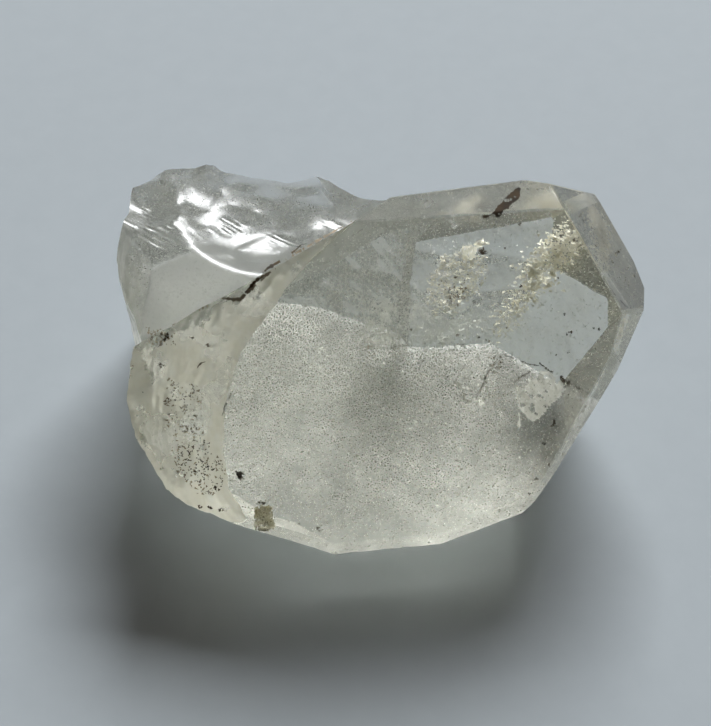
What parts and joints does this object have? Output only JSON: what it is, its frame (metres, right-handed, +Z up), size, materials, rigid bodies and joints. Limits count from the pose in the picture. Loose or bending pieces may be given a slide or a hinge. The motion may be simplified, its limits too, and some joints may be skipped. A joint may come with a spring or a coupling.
{
  "type": "quartz cluster",
  "caption": "Natural clear to cloudy quartz specimen: a stubby terminated crystal grown together with a broken crystal behind it, with iron-stained breaks and a flat resting base.",
  "frame": {"origin": "centre of the footprint box, on the flat base that the specimen rests on", "axes": "+Z up from the base, +X along the specimen towards the terminated end, -Y towards the large tilted face"},
  "size_m": [0.0556, 0.0426, 0.0291],
  "materials": {
    "quartz": "clear to cloudy natural crystal, smooth growth faces, frosted and iron-stained breaks"
  },
  "bodies": {
    "root": {"quartz_cluster": "quartz"}
  },
  "joints": []
}
